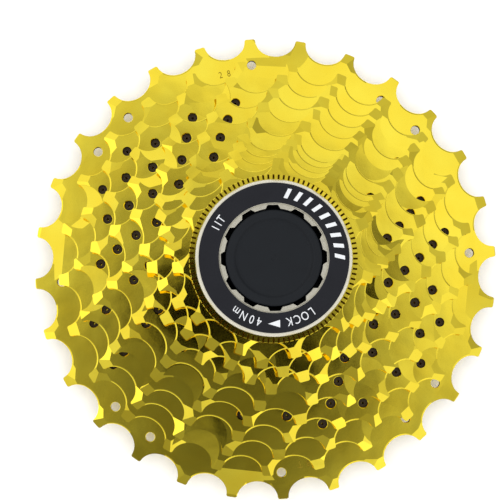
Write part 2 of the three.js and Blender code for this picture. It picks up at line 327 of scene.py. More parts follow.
def rivet_holes():
    return [circle(RIVET_R + RIVET_FIT, 24, rivet_centre(k)) for k in range(RIVET_COUNT)]


def sector_outline(r_in, r_out, start, end, steps=10):
    sweep = [start + (end - start) * i / steps for i in range(steps + 1)]
    return [polar(r_out, a) for a in sweep] + [polar(r_in, a) for a in reversed(sweep)]


# ---- solid shapes ----
def loop(bm, points, z):
    verts = [bm.verts.new((x, y, z)) for x, y in points]
    return [bm.edges.new(pair) for pair in zip(verts, verts[1:] + verts[:1])]


def slab(outline, holes, z, depth):
    """A flat plate of any outline, with holes through it."""
    bm = bmesh.new()
    edges = [edge for points in [outline, *holes] for edge in loop(bm, points, z)]
    bmesh.ops.triangle_fill(bm, use_beauty=True, edges=edges, normal=(0, 0, 1))
    inner = [edge for edge in bm.edges if not edge.is_boundary]
    bmesh.ops.dissolve_limit(bm, angle_limit=0.01, verts=[], edges=inner)
    grown = bmesh.ops.extrude_face_region(bm, geom=bm.faces[:])
    raised = [item for item in grown["geom"] if isinstance(item, bmesh.types.BMVert)]
    bmesh.ops.translate(bm, verts=raised, vec=(0, 0, depth))
    bmesh.ops.recalc_face_normals(bm, faces=bm.faces)
    return bm


def turned(profile, steps=96, corner=0.0, closed=True):
    """A turned shape. An open profile starts and ends on the axis."""
    bm = bmesh.new()
    verts = [bm.verts.new((*polar(r, corner), z)) for r, z in profile]
    ends = verts[1:] + verts[:1] if closed else verts[1:]
    edges = [bm.edges.new(pair) for pair in zip(verts, ends)]
    whole = dict(cent=(0, 0, 0), axis=(0, 0, 1), angle=math.tau, use_merge=True)
    bmesh.ops.spin(bm, geom=verts + edges, steps=steps, **whole)
    bmesh.ops.remove_doubles(bm, verts=bm.verts, dist=1e-5)
    bmesh.ops.recalc_face_normals(bm, faces=bm.faces)
    return bm


def is_flat(face):
    return abs(face.normal.z) > 0.95


def wall_corners(bm, r_from, r_to):
    """Upright edges where two walls meet at a sharp corner, between two radii."""
    found = []
    for edge in bm.edges:
        if len(edge.link_faces) != 2 or any(abs(f.normal.z) > 0.1 for f in edge.link_faces):
            continue
        r = math.hypot(*edge.verts[0].co.xy)
        if r_from <= r <= r_to and edge.calc_face_angle() > math.radians(35):
            found.append(edge)
    return found


def rims(bm, keep=lambda co: True):
    """Edges where a flat face turns down into a wall, where `keep` says so."""
    found = []
    for edge in bm.edges:
        turns = len(edge.link_faces) == 2 and sum(map(is_flat, edge.link_faces)) == 1
        if turns and keep((edge.verts[0].co + edge.verts[1].co) / 2):
            found.append(edge)
    return found


def ease(bm, edges, width, segments=2):
    bmesh.ops.bevel(
        bm,
        geom=edges,
        offset=width,
        offset_type="OFFSET",
        segments=segments,
        profile=0.5,
        affect="EDGES",
        clamp_overlap=True,
        material=-1,
    )
    return bm


def as_object(bm, name):
    mesh = bpy.data.meshes.new(name)
    bm.to_mesh(mesh)
    bm.free()
    made = bpy.data.objects.new(name, mesh)
    bpy.context.scene.collection.objects.link(made)
    return made


def combine(bm, tool, operation="DIFFERENCE"):
    """Cuts one closed shape by another, joins them, or keeps what they share."""
    body, cutter = as_object(bm, "body"), as_object(tool, "cutter")
    modifier = body.modifiers.new("cut", "BOOLEAN")
    modifier.object = cutter
    modifier.operation = operation
    modifier.solver = "MANIFOLD"
    cutter.hide_render = True
    depsgraph = bpy.context.evaluated_depsgraph_get()
    mesh = bpy.data.meshes.new_from_object(body.evaluated_get(depsgraph))
    result = bmesh.new()
    result.from_mesh(mesh)
    for thing in (body, cutter):
        data = thing.data
        bpy.data.objects.remove(thing)
        bpy.data.meshes.remove(data)
    bpy.data.meshes.remove(mesh)
    return result


def merge(*shapes):
    """Several shapes that do not touch, as one."""
    whole = bmesh.new()
    for shape in shapes:
        mesh = bpy.data.meshes.new("part")
        shape.to_mesh(mesh)
        shape.free()
        whole.from_mesh(mesh)
        bpy.data.meshes.remove(mesh)
    return whole


def moved(bm, matrix):
    bm.transform(matrix)
    return bm


# ---- finishes ----
def srgb(code):
    """Linear colour from a hex code."""
    parts = [int(code[i : i + 2], 16) / 255 for i in (1, 3, 5)]
    linear = [c / 12.92 if c <= 0.04045 else ((c + 0.055) / 1.055) ** 2.4 for c in parts]
    return (*linear, 1.0)


def feed(tree, node, sockets):
    """Sets a node's inputs, each from a plain value or from the output that feeds it."""
    for name, value in sockets.items():
        if isinstance(value, bpy.types.NodeSocket):
            tree.links.new(value, node.inputs[name])
        else:
            node.inputs[name].default_value = value


def add(tree, kind, inputs=None, **settings):
    """Adds one node with its settings and its inputs."""
    node = tree.nodes.new(kind)
    for name, value in settings.items():
        setattr(node, name, value)
    feed(tree, node, inputs or {})
    return node


def finish_of(name):
    """A fresh material: its tree, its surface shader and its object coordinates."""
    material = bpy.data.materials.new(name)
    material.use_nodes = True
    tree = material.node_tree
    tree.nodes.clear()
    surface = add(tree, "ShaderNodeBsdfPrincipled")
    add(tree, "ShaderNodeOutputMaterial", {"Surface": surface.outputs[0]})
    where = add(tree, "ShaderNodeTexCoord").outputs["Object"]
    return material, tree, surface, where


def speckle(tree, where, size_mm, detail=2.0, roughness=0.5):
    """Noise whose features are size_mm across."""
    scale = {"Vector": where, "Scale": 1 / (size_mm * MM), "Detail": detail, "Roughness": roughness}
    return add(tree, "ShaderNodeTexNoise", scale).outputs["Fac"]


def spread(tree, value, low, high):
    """Stretches a 0 to 1 pattern between two numbers."""
    limits = {"Value": value, "To Min": low, "To Max": high}
    return add(tree, "ShaderNodeMapRange", limits).outputs["Result"]


def tint(tree, value, first, second):
    """Blends two hex colours by a pattern."""
    mix = add(tree, "ShaderNodeMix", data_type="RGBA")
    tree.links.new(value, mix.inputs[0])
    mix.inputs[6].default_value = srgb(first)
    mix.inputs[7].default_value = srgb(second)
    return mix.outputs[2]


def relief(tree, height, depth_mm, under=None):
    """A bump of a real depth, on top of another one if given."""
    sockets = {"Height": height, "Distance": depth_mm * MM, "Strength": 1.0}
    if under is not None:
        sockets["Normal"] = under
    return add(tree, "ShaderNodeBump", sockets).outputs["Normal"]


def radius_from_axis(tree, where):
    flat = add(tree, "ShaderNodeVectorMath", {0: where, 1: (1, 1, 0)}, operation="MULTIPLY")
    length = add(tree, "ShaderNodeVectorMath", {0: flat.outputs[0]}, operation="LENGTH")
    return length.outputs["Value"]


def turning_marks(tree, where, pitch_mm):
    """Fine rings left by a lathe tool, pitch_mm apart."""
    scaled = {0: radius_from_axis(tree, where), 1: math.tau / (pitch_mm * MM)}
    phase = add(tree, "ShaderNodeMath", scaled, operation="MULTIPLY").outputs[0]
    wave = add(tree, "ShaderNodeMath", {0: phase}, operation="SINE").outputs[0]
    return add(tree, "ShaderNodeMapRange", {"Value": wave, "From Min": -1.0}).outputs["Result"]


def mirror_gold_plating():
    """Gold-coloured plating on polished stamped steel: mirror bright, a little wavy."""
    material, tree, surface, where = finish_of("mirror_gold_plating")
    plates = add(tree, "ShaderNodeMapping", {"Vector": where, "Scale": (1, 1, 7)}).outputs[0]
    dish = speckle(tree, plates, 34.0, 0.0)
    waves = speckle(tree, plates, 7.0, 1.0)
    peel = speckle(tree, where, 1.4, 2.0)
    polish = speckle(tree, where, 0.25, 3.0)
    patches = speckle(tree, where, 9.0, 3.0)
    wavy = relief(tree, waves, 0.028, relief(tree, dish, 0.25))
    peeled = relief(tree, peel, 0.0018, wavy)
    feed(
        tree,
        surface,
        {
            "Base Color": tint(tree, patches, "#F5D533", "#FAE94E"),
            "Metallic": 1.0,
            "Roughness": spread(tree, polish, 0.03, 0.1),
            "Normal": relief(tree, polish, 0.0004, peeled),
        },
    )
    return material


def black_anodising():
    """Aluminium turned on a lathe, then anodised black: satin, with faint rings."""
    material, tree, surface, where = finish_of("black_anodising")
    rings = turning_marks(tree, where, 0.12)
    grain = speckle(tree, where, 0.3, 3.0)
    feed(
        tree,
        surface,
        {
            "Base Color": tint(tree, speckle(tree, where, 5.0), "#131419", "#191A20"),
            "Specular IOR Level": 0.22,
            "Roughness": spread(tree, grain, 0.36, 0.5),
            "Normal": relief(tree, grain, 0.004, relief(tree, rings, 0.003)),
        },
    )
    return material


def bare_aluminium():
    """Freshly cut aluminium: pale, satin, with fine turning rings."""
    material, tree, surface, where = finish_of("bare_turned_aluminium")
    rings = turning_marks(tree, where, 0.1)
    grain = speckle(tree, where, 0.5, 3.0)
    feed(
        tree,
        surface,
        {
            "Base Color": tint(tree, grain, "#C9C5B4", "#DEDACB"),
            "Metallic": 1.0,
            "Roughness": spread(tree, grain, 0.34, 0.48),
            "Normal": relief(tree, rings, 0.004),
        },
    )
    return material


def black_resin():
    """Glass-filled nylon as moulded: black, dull, with a fine pebble."""
    material, tree, surface, where = finish_of("moulded_black_nylon")
    pebble = speckle(tree, where, 0.35, 3.0)
    flow = speckle(tree, where, 4.0, 3.0)
    feed(
        tree,
        surface,
        {
            "Base Color": tint(tree, flow, "#101013", "#1A1A1D"),
            "Roughness": spread(tree, flow, 0.42, 0.6),
            "Normal": relief(tree, pebble, 0.01),
        },
    )
    return material


def core_plastic():
    """Moulded polypropylene: blue-black, soft sheen, faint flow and scuffs."""
    material, tree, surface, where = finish_of("moulded_polypropylene")
    pebble = speckle(tree, where, 0.5, 3.0)
    flow = speckle(tree, where, 7.0, 4.0)
    feed(
        tree,
        surface,
        {
            "Base Color": tint(tree, flow, "#0C0F13", "#13171C"),
            "Specular IOR Level": 0.25,
            "Roughness": spread(tree, flow, 0.42, 0.58),
            "Normal": relief(tree, pebble, 0.008),
        },
    )
    return material


def zinc_steel():
    """Zinc-plated steel: pale grey, slightly cloudy."""
    material, tree, surface, where = finish_of("zinc_plated_steel")
    cloud = speckle(tree, where, 0.8, 4.0)
    feed(
        tree,
        surface,
        {
            "Base Color": tint(tree, cloud, "#B4B7BA", "#CDD0D2"),
            "Metallic": 1.0,
            "Roughness": spread(tree, cloud, 0.22, 0.42),
            "Normal": relief(tree, cloud, 0.006),
        },
    )
    return material


def white_print():
    """Pad-printed white ink: matt, with slightly uneven cover."""
    material, tree, surface, where = finish_of("white_pad_print")
    cover = speckle(tree, where, 0.4, 3.0)
    feed(
        tree,
        surface,
        {
            "Base Color": tint(tree, cover, "#C9CCCF", "#E4E6E8"),
            "Roughness": spread(tree, cover, 0.5, 0.7),
            "Normal": relief(tree, cover, 0.003),
        },
    )
    return material


def mark_and_groove_shade_gold():
    """Rough, darker gold: stamped marks' plating, and painted shade on the serration flanks."""
    material, tree, surface, where = finish_of("stamped_mark_and_groove_shade")
    grit = speckle(tree, where, 0.15, 2.0)
    feed(
        tree,
        surface,
        {
            "Base Color": tint(tree, grit, "#8C761F", "#C2A636"),
            "Metallic": 1.0,
            "Roughness": spread(tree, grit, 0.35, 0.5),
            "Normal": relief(tree, grit, 0.01),
        },
    )
    return material


def hole_painted_shade():
    """Painted shade in the small holes: dark brown on their walls and on the webs behind them."""
    material, tree, surface, where = finish_of("painted_hole_shade")
    shade_mottle = speckle(tree, where, 0.5, 3.0)
    feed(
        tree,
        surface,
        {
            "Base Color": tint(tree, shade_mottle, "#1E160B", "#3C2D14"),
            "Roughness": spread(tree, shade_mottle, 0.5, 0.75),
            "Normal": relief(tree, shade_mottle, 0.02),
        },
    )
    return material


def floor_paper():
    """Seamless white studio paper: matt and very slightly fibrous, so it stays pale and even."""
    material, tree, surface, where = finish_of("white_studio_paper")
    fibre = speckle(tree, where, 2.0, 3.0)
    feed(
        tree,
        surface,
        {
            "Base Color": tint(tree, fibre, "#F7F7F8", "#FCFCFD"),
            "Roughness": 0.9,
            "Specular IOR Level": 0.1,
            "Normal": relief(tree, fibre, 0.01),
        },
    )
    return material


GOLD = mirror_gold_plating()
ANODISED = black_anodising()
ALUMINIUM = bare_aluminium()
RESIN = black_resin()
PLASTIC = core_plastic()
STEEL = zinc_steel()
PRINT = white_print()
MARK_AND_GROOVE_SHADE = mark_and_groove_shade_gold()
HOLE_SHADE = hole_painted_shade()


# ---- turning a shape into a piece of the model ----
def piece(name, bm, body, finishes, node=None, paint=None):
    """Finishes a shape: closed, outward, in metres, riding on its body."""
    bmesh.ops.remove_doubles(bm, verts=bm.verts, dist=1e-4)
    bmesh.ops.dissolve_degenerate(bm, edges=bm.edges, dist=1e-5)
    bmesh.ops.recalc_face_normals(bm, faces=bm.faces)
    for face in bm.faces:
        face.smooth = not is_flat(face)
        face.material_index = paint(face) if paint else 0
    for edge in bm.edges:
        edge.smooth = edge.calc_face_angle(0.0) < math.radians(38)
    bm.transform(Matrix.Scale(MM, 4))
    made = as_object(bm, name)
    for finish in finishes:
        made.data.materials.append(finish)
    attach(made, body)
    if node:
        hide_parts(node)


# ---- sprockets ----
def flatten_roll(bm, back, width):
    """Makes the rounded rims wide and shallow, as blanking rolls them."""
    front = back + PLATE
    for vert in bm.verts:
        if front - width - 0.01 < vert.co.z < front:
            vert.co.z = front - (front - vert.co.z) * ROLL_DEPTH
        elif back < vert.co.z < back + width + 0.01:
            vert.co.z = back + (vert.co.z - back) * ROLL_DEPTH


def facet_cone(teeth, phase, front, run, drop, side):
    """A many-sided low cone whose sides leave one flat facet on each tooth."""
    tip = tip_radius(teeth)
    rim = tip + 1.0
    to_corner = 1 / math.cos(math.pi / teeth)

    def height(r):
        return side * (-(drop / run) * (r - (tip - run)))

    far = -side * 4.0
    profile = [
        (0, front + far),
        (rim * to_corner, front + far),
        (rim * to_corner, front + height(rim)),
        (0, front + height(0)),
    ]
    return turned(profile, teeth, phase + 180 / teeth, closed=False)


def plate_blank(teeth, phase, drilled, window_inset, back):
    holes = [spline_outline(SPLINE_FIT)]
    holes += [circle(HOLE_R, HOLE_SIDES, at) for at in hole_centres(teeth, phase, drilled)]
    if teeth in RIVETED:
        holes += rivet_holes()
    if window_inset:
        holes += window_outlines(teeth, window_inset)
    bm = slab(tooth_outline(teeth, phase), holes, back, PLATE)
    tip = tip_radius(teeth)
    ease(bm, wall_corners(bm, tip - 0.1, tip + 1), CORNER_EASE, 3)
    ease(bm, wall_corners(bm, SPLINE_ROOT_R, SPLINE_CREST_R + 1), SPLINE_CORNER_EASE, 2)
    if window_inset:
        corners = wall_corners(bm, WINDOW_INNER_R - 1, pitch_radius(teeth) - window_inset + 1)
        ease(bm, corners, WINDOW_CORNER, 4)
    root = pitch_radius(teeth) - TOOTH_ROOT
    near_teeth = rims(bm, lambda co: co.xy.length > root - 0.3)
    ease(bm, near_teeth, RIM_EASE, 3)
    flatten_roll(bm, back, RIM_EASE)
    holes_rims = rims(bm, lambda co: SPLINE_CREST_R + 1 < co.xy.length < root - 0.4)
    ease(bm, holes_rims, HOLE_EASE)
    return ease(bm, rims(bm, lambda co: co.xy.length < SPLINE_CREST_R + 1), BORE_EASE)


def sprocket_shape(teeth, phase, drilled, window_inset, front):
    back = front - PLATE
    bm = plate_blank(teeth, phase, drilled, window_inset, back)
    bm = combine(bm, facet_cone(teeth, phase, front, FACET_RUN, FACET_DROP, 1), "INTERSECT")
    rear = facet_cone(teeth, phase, back, BACK_FACET_RUN, BACK_FACET_DROP, -1)
    return combine(bm, rear, "INTERSECT")


def shift_recesses(phase, front):
    """Sectors of the largest plate's face set back where the chain climbs."""
    cutters = []
    for k in range(28):
        if k % 7 in RECESSED_OF_SEVEN:
            middle = phase - k * 360 / 28
            outline = sector_outline(RECESS_INNER_R, RECESS_OUTER_R, middle - 5, middle + 6)
            cutters.append(slab(outline, [], front - RECESS_DEPTH, 2))
    return merge(*cutters)


def tilted(lean, slew):
    """Leans outwards by `lean` degrees and along the plate's turn by `slew`."""
    outward = Matrix.Rotation(math.radians(lean), 3, "Y")
    return outward @ Matrix.Rotation(math.radians(slew), 3, "X")


def ramp_cutter(radius, at_r, angle, depth, lean, slew, front):
    """A round scoop that deepens outwards (lean) and along the plate's turn (slew)."""
    bm = bmesh.new()
    bmesh.ops.create_cone(bm, cap_ends=True, segments=64, radius1=radius, radius2=radius, depth=4)
    bmesh.ops.translate(bm, verts=bm.verts, vec=(0, 0, 2))
    bmesh.ops.rotate(bm, verts=bm.verts, matrix=tilted(lean, slew))
    bmesh.ops.translate(bm, verts=bm.verts, vec=(at_r, 0, front - depth))
    bmesh.ops.rotate(bm, verts=bm.verts, matrix=Matrix.Rotation(math.radians(angle), 3, "Z"))
    return bm


def tooth_bevels(teeth, phase, front):
    """A shallow slanting cut across every tooth, each tooth's tilt drawn by seeded chance."""
    chance = random.Random(teeth)
    at_r = tip_radius(teeth) - BEVEL_INSET
    cutters = []
    for k in range(teeth):
        lean, slew = chance.uniform(*BEVEL_LEAN), chance.choice(BEVEL_SLEWS)
        depth = BEVEL_DEPTH + BEVEL_DEPTH_PER_DEGREE * abs(slew)
        bm = bmesh.new()
        bmesh.ops.create_cube(bm, size=1.0)
        bmesh.ops.scale(bm, verts=bm.verts, vec=BEVEL_BLOCK)
        bmesh.ops.translate(bm, verts=bm.verts, vec=BEVEL_SHIFT)
        bmesh.ops.rotate(bm, verts=bm.verts, matrix=tilted(lean, slew))
        bmesh.ops.translate(bm, verts=bm.verts, vec=(at_r, 0, front - depth))
        turn = Matrix.Rotation(math.radians(phase + k * 360 / teeth), 3, "Z")
        bmesh.ops.rotate(bm, verts=bm.verts, matrix=turn)
        cutters.append(bm)
    return merge(*cutters)


def hole_shade_webs(centres, back):
    """The thin web at the back of each small hole, with its pilot hole, painted dark as painted
    shade.
    """
    webs = []
    for at in centres:
        pilot = circle(PILOT_R, 16, at)
        rim = circle(HOLE_R + WEB_OVERLAP, HOLE_SIDES, at)
        webs.append(slab(rim, [pilot], back + WEB_RISE, PILOT_WEB))
    return merge(*webs)


def make_sprockets():
    for teeth, phase, body, drilled, window_inset in SPROCKETS:
        node = f"sprocket_{teeth}t"
        front = top_of(node) - (SERRATION_HEIGHT if teeth == 11 else 0)
        bm = sprocket_shape(teeth, phase, drilled, window_inset, front)
        bm = combine(bm, tooth_bevels(teeth, phase, front))
        holes_at = hole_centres(teeth, phase, drilled)
        # every drilled plate but the largest gets a dark web in each hole: painted shade across it
        if teeth != 28 and drilled:
            bm = combine(bm, hole_shade_webs(holes_at, front - PLATE), "UNION")
        if teeth == 28:
            bm = combine(bm, shift_recesses(phase, front))
            for angle in SCOOP_ANGLES:
                scoop = ramp_cutter(
                    SCOOP_R, SCOOP_CIRCLE_R, angle, SCOOP_DEPTH, SCOOP_LEAN, 0, front
                )
                bm = combine(bm, scoop)
        for k, size, lean, slew in RAMPS.get(teeth, []):
            at_r = pitch_radius(teeth) - TOOTH_ROOT + RAMP_ABOVE_ROOT
            middle = phase - (k + 0.5) * 360 / teeth
            bm = combine(bm, ramp_cutter(size, at_r, middle, RAMP_DEPTH, lean, slew, front))
        if teeth in (12, 11):
            outer = LOOSE_SPACER_R if teeth == 12 else END_BOSS_R
            low = bottom_of(node)
            height = front - BOSS_SINK - low
            boss = slab(circle(outer, 96), [spline_outline(SPLINE_FIT)], low, height)
            bm = combine(bm, ease(boss, rims(boss), 0.12), "UNION")
        if teeth == 11:
            bm = combine(bm, serrated_ring(front), "UNION")
            bm = combine(bm, serration_cutters(front))

        def paint(face, centres=holes_at, below=front - HOLE_EASE, serrated=teeth == 11):
            """Plating, with painted shade: dark brown in the small holes, darker gold on serration
            flanks.
            """
            centre = face.calc_center_median()
            in_band = abs(centre.xy.length - SERRATED_BAND_R) < SERRATED_BAND_HALF
            # serration flanks take the darker gold as painted shade in the grooves
            if serrated and in_band and abs(face.normal.z) < 0.9:
                return 2
            if centre.z > below:
                return 0
            # faces inside the small holes take the dark brown painted shade
            return int(any(math.dist(centre.xy, at) < HOLE_R + 0.01 for at in centres))

        piece(f"{node}_plate", bm, body, [GOLD, HOLE_SHADE, MARK_AND_GROOVE_SHADE], node, paint)


def serrated_ring(front):
    """Raised ring on the smallest sprocket that the lock ring bites on."""
    outer, bore = circle(SERRATION_TIP_R, 120), circle(SERRATION_BORE_R, 120)
    bm = slab(outer, [bore], front - BOSS_SINK, BOSS_SINK + SERRATION_HEIGHT)
    return ease(bm, rims(bm, lambda co: co.z > front), 0.12)


def serration_cutters(front):
    """One radial V-groove for each serration."""
    top = front + SERRATION_HEIGHT + 0.1
    half = SERRATION_MOUTH / 2
    section = [(-half, top), (0, top - SERRATION_CUT), (half, top)]
    stand = Matrix(((0, 0, 1, SERRATION_START_R), (1, 0, 0, 0), (0, 1, 0, 0), (0, 0, 0, 1)))
    cutters = []
    for k in range(SERRATIONS):
        groove = slab(section, [], 0, SERRATION_LENGTH)
        cutters.append(moved(groove, Matrix.Rotation(k * math.tau / SERRATIONS, 4, "Z") @ stand))
    return merge(*cutters)


# ---- spacers and rivets ----
def spacer_shape(node, outer, riveted):
    """A splined ring with the fine groove that its mould's parting line leaves."""
    low, high = bottom_of(node), top_of(node)
    holes = [spline_outline(SPLINE_FIT + 0.03)]
    if riveted:
        holes += rivet_holes()
    bm = slab(circle(outer, 96), holes, low, high - low)
    ease(bm, wall_corners(bm, SPLINE_ROOT_R, SPLINE_CREST_R + 1), SPLINE_CORNER_EASE, 2)
    ease(bm, rims(bm), 0.16)
    middle = (low + high) / 2
    groove = [
        (outer - GROOVE_DEPTH, middle - GROOVE_HALF_FLOOR),
        (outer + 1, middle - GROOVE_HALF_MOUTH),
        (outer + 1, middle + GROOVE_HALF_MOUTH),
        (outer - GROOVE_DEPTH, middle + GROOVE_HALF_FLOOR),
    ]
    return combine(bm, turned(groove, 96))


def make_spacers():
    for low, high in zip(RIVETED, RIVETED[1:]):
        node = f"cluster_spacer_{low}_{high}"
        bm = spacer_shape(node, CLUSTER_SPACER_R, True)
        piece(f"{node}_ring", bm, "cluster", [RESIN], node)
    for low, high in ((17, 15), (15, 14), (14, 13)):
        node = f"spacer_{low}_{high}"
        bm = spacer_shape(node, LOOSE_SPACER_R, False)
        piece(f"{node}_ring", bm, f"ring_{low}_{high}", [RESIN], node)


def rivet_shape(k):
    """A rivet with a domed head at each end and the punch's dimple in it."""
    node = f"cluster_rivet_{k + 1}"
    low, high = bottom_of(node), top_of(node)
    dome = [(0, -0.22), (0.5, -0.2), (0.75, -0.02), (1.3, 0.0)]
    dome += [(1.9, -0.14), (2.25, -0.36), (2.38, -0.58)]
    top = [(r, high + z) for r, z in dome] + [(RIVET_HEAD_R, high - RIVET_HEAD)]
    foot = [(r, low - z) for r, z in dome] + [(RIVET_HEAD_R, low + RIVET_HEAD)]
    profile = foot + [(RIVET_R, low + RIVET_HEAD), (RIVET_R, high - RIVET_HEAD)] + top[::-1]
    bm = turned(profile, 40, closed=False)
    x, y = rivet_centre(k)
    bmesh.ops.translate(bm, verts=bm.verts, vec=(x, y, 0))
    return bm


def make_rivets():
    for k in range(RIVET_COUNT):
        node = f"cluster_rivet_{k + 1}"
        piece(f"{node}_shank", rivet_shape(k), "cluster", [STEEL], node)


# ---- lock ring and washer ----
def cut_thread(bm, r_thread, z_from, z_to, depth):
    """Pushes a smooth cylinder's surface into a screw thread that fades at both ends."""
    for vert in bm.verts:
        x, y, z = vert.co
        r = math.hypot(x, y)
        if abs(r - r_thread) > 0.02 or not z_from < z < z_to:
            continue
        turn = math.atan2(y, x) / math.tau
        along = (z / THREAD_PITCH - turn) % 1.0
        ridge = abs(2 * along - 1)
        fade = min(1.0, (z - z_from) / THREAD_FADE, (z_to - z) / THREAD_FADE)
        grown = r_thread - depth * fade * ridge
        vert.co.x, vert.co.y = x * grown / r, y * grown / r


def notch_cutters(low, high):
    """Tapered cuts that leave the tool teeth between them."""
    mouth = NOTCH_TIP_R - 1
    flare = (NOTCH_MOUTH_WIDTH - NOTCH_ROOT_WIDTH) / (NOTCH_ROOT_R - NOTCH_TIP_R)
    half = (NOTCH_MOUTH_WIDTH + flare) / 2
    root = NOTCH_ROOT_WIDTH / 2
    outline = [(mouth, -half), (NOTCH_ROOT_R, -root), (NOTCH_ROOT_R, root), (mouth, half)]
    cutters = []
    for k in range(NOTCHES):
        bm = slab(outline, [], low, high - low)
        turn = Matrix.Rotation(math.radians(NOTCH_PHASE + k * 360 / NOTCHES), 4, "Z")
        cutters.append(moved(bm, turn))
    return merge(*cutters)


def lock_ring_paint(face):
    """Black face and skirt, bare metal where the tool has cut: outer bevel, lip and tool teeth."""
    centre = face.calc_center_median()
    r = math.hypot(centre.x, centre.y)
    top = top_of("lock_ring")
    on_bevel = r > LOCK_FACE_R + 0.1 and centre.z > top - LOCK_BEVEL - 0.02
    on_lip = NOTCH_TIP_R + 0.05 < r < LOCK_LIP_R - 0.22 and centre.z > top - LIP_DROP - 0.05
    return 1 if on_bevel or on_lip else 0


def make_lock_ring():
    low, top = bottom_of("lock_ring"), top_of("lock_ring")
    flange = top - LOCK_HEIGHT
    skirt_rows = [(THREAD_R, low + 0.3 + (flange - low - 0.5) * i / 40) for i in range(41)]
    profile = [
        (NOTCH_TIP_R, low + 0.15),
        (NOTCH_TIP_R + 0.15, low),
        (THREAD_R - 0.45, low),
        (THREAD_R - 0.1, low + 0.2),
        *skirt_rows,
        (THREAD_R - 0.25, flange - 0.12),
        (THREAD_R - 0.25, flange),
        (LOCK_R - 0.25, flange),
        (LOCK_R - 0.05, flange + 0.08),
        (LOCK_R, flange + 0.3),
        (LOCK_R, top - LOCK_BEVEL - 0.1),
        (LOCK_R - 0.03, top - LOCK_BEVEL + 0.05),
        (LOCK_FACE_R + 0.26, top - 0.1),
        (LOCK_FACE_R + 0.12, top),
        (LOCK_LIP_R - 0.25, top),
        (LOCK_LIP_R - 0.38, top - 0.08),
        (LOCK_LIP_R - LIP_DROP - 0.1, top - LIP_DROP),
        (NOTCH_TIP_R + 0.12, top - LIP_DROP),
        (NOTCH_TIP_R, top - LIP_DROP - 0.12),
    ]
    bm = turned(profile, 144)
    cut_thread(bm, THREAD_R, low + 0.25, flange - 0.15, THREAD_DEPTH)
    bm = combine(bm, notch_cutters(low - 1, top + 1))
    finishes = [ANODISED, ALUMINIUM]
    piece("lock_ring_body", bm, "lock", finishes, "lock_ring", lock_ring_paint)


def make_washer():
    low, high = bottom_of("lock_washer"), top_of("lock_washer")
    bm = slab(circle(WASHER_R, 144), [circle(WASHER_BORE_R, 144)], low, high - low)
    ease(bm, rims(bm), 0.1)
    piece("lock_washer_ring", bm, "washer", [ALUMINIUM], "lock_washer")


# ---- printed marks on the lock ring ----
def letter(character, size):
    """One narrow capital or figure as a flat shape, centred on its own width."""
    curve = bpy.data.curves.new("letter", "FONT")
    curve.body = character
    curve.size = size
    curve.align_x = "CENTER"
    curve.resolution_u = 3
    thing = bpy.data.objects.new("letter", curve)
    bpy.context.scene.collection.objects.link(thing)
    depsgraph = bpy.context.evaluated_depsgraph_get()
    mesh = bpy.data.meshes.new_from_object(thing.evaluated_get(depsgraph))
    bm = bmesh.new()
    bm.from_mesh(mesh)
    bpy.data.objects.remove(thing)
    bpy.data.curves.remove(curve)
    bpy.data.meshes.remove(mesh)
    bmesh.ops.remove_doubles(bm, verts=bm.verts, dist=1e-4)
    bmesh.ops.scale(bm, verts=bm.verts, vec=(0.8, 1, 1))
    return bm


def raise_mark(bm, z):
    """Gives a flat mark its thickness and sets it on the face."""
    grown = bmesh.ops.extrude_face_region(bm, geom=bm.faces[:])
    raised = [item for item in grown["geom"] if isinstance(item, bmesh.types.BMVert)]
    bmesh.ops.translate(bm, verts=raised, vec=(0, 0, MARK_THICKNESS))
    bmesh.ops.translate(bm, verts=bm.verts, vec=(0, 0, z))
    bmesh.ops.recalc_face_normals(bm, faces=bm.faces)
    return bm


def set_on_arc(bm, r, angle):
    """Stands a mark on the ring with its top outwards, so a row reads clockwise."""
    turn = Matrix.Rotation(math.radians(angle - 90), 4, "Z")
    return moved(bm, turn @ Matrix.Translation((0, r, 0)))


def row_of_letters(text, start, end, r, size, z):
    marks = []
    for i, character in enumerate(text):
        angle = start + (end - start) * (i / max(1, len(text) - 1))
        if character != " ":
            mark = letter(character, size)
            bmesh.ops.translate(mark, verts=mark.verts, vec=(0, -size * 0.36, 0))
            marks.append(set_on_arc(raise_mark(mark, z), r, angle))
    return marks


def flat_shape(points):
    bm = bmesh.new()
    bm.faces.new([bm.verts.new((x, y, 0)) for x, y in points])
    return bm


def make_ring_marks():
    """Tooth count, torque and turning direction, and a plain row of slanted bars."""
    z = top_of("lock_ring") - PRINT_SINK
    marks = row_of_letters("11T", 153.2, 144, PRINT_R, 2.75, z)
    marks += row_of_letters("LOCK", 305, 283.5, PRINT_R, 2.8, z)
    marks += row_of_letters("40", 256.8, 250, PRINT_R, 2.8, z)
    marks += row_of_letters("Nm", 242.2, 234.2, PRINT_R, 2.8, z)
    arrow = flat_shape([(-1.2, -0.85), (1.5, 0), (-1.2, 0.85)])
    marks.append(set_on_arc(raise_mark(arrow, z), PRINT_R, 270.5))
    for i in range(BAR_COUNT):
        bar = flat_shape([(-0.75, -1.15), (0.15, -1.15), (0.75, 1.15), (-0.15, 1.15)])
        marks.append(set_on_arc(raise_mark(bar, z), PRINT_R, BAR_START - i * BAR_STEP))
    piece("lock_ring_print", merge(*marks), "lock", [PRINT])


def make_plate_marks():
    """The tooth count stamped twice on the largest plate."""
    z = top_of("sprocket_28t") - STAMP_SINK
    marks = row_of_letters("28T", 103.4, 98.6, STAMP_R, STAMP_SIZE, z)
    marks += row_of_letters("28T", 284.4, 279.6, STAMP_R, STAMP_SIZE, z)
    piece("sprocket_28t_marks", merge(*marks), "cluster", [MARK_AND_GROOVE_SHADE])


